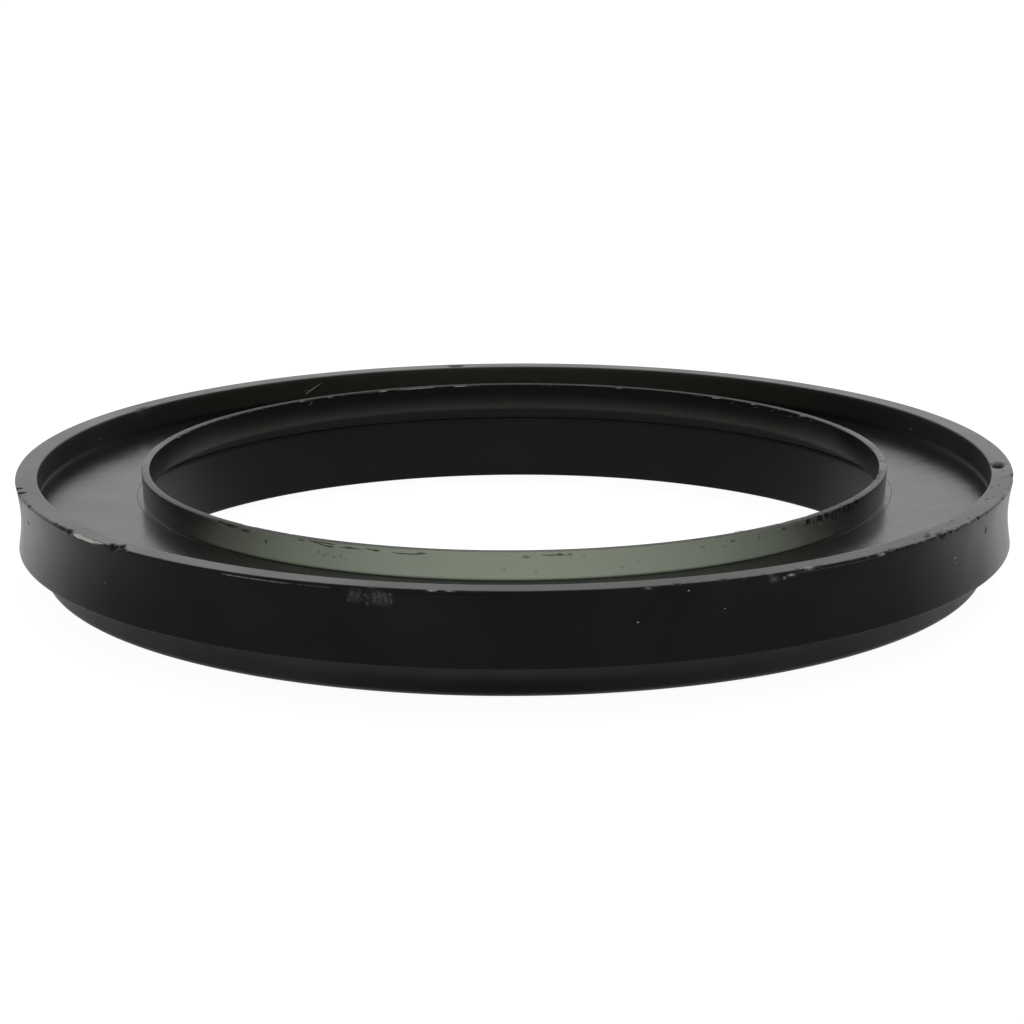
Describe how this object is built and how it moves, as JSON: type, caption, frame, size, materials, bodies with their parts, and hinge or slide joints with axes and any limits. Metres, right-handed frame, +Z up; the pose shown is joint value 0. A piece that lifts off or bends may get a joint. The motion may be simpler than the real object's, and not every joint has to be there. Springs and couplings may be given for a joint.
{
  "type": "toilet flange seal ring",
  "caption": "Round moulded seal for a toilet flange: waisted outer wall, open channel, thin upright lip round the bore and a rounded foot that seats underneath.",
  "frame": {"origin": "centre of the flat underside, on the ring's axis", "axes": "+Z up along the ring's axis, from the foot towards the rim and the lip; X and Y are equivalent"},
  "size_m": [0.15, 0.15, 0.0169],
  "materials": {
    "shell_rubber": "smooth moulded, semi-gloss",
    "lip_rubber": "smooth moulded, semi-gloss, slightly translucent grey-green where thin",
    "sleeve_rubber": "smooth moulded, satin",
    "foot_rubber": "satin moulded",
    "stiffener_steel": "plain pressed strip"
  },
  "bodies": {
    "root": {"outer_shell": "shell_rubber", "lip_collar": "lip_rubber", "bore_sleeve": "sleeve_rubber", "foot_seal": "foot_rubber", "stiffening_ring": "stiffener_steel"}
  },
  "joints": []
}
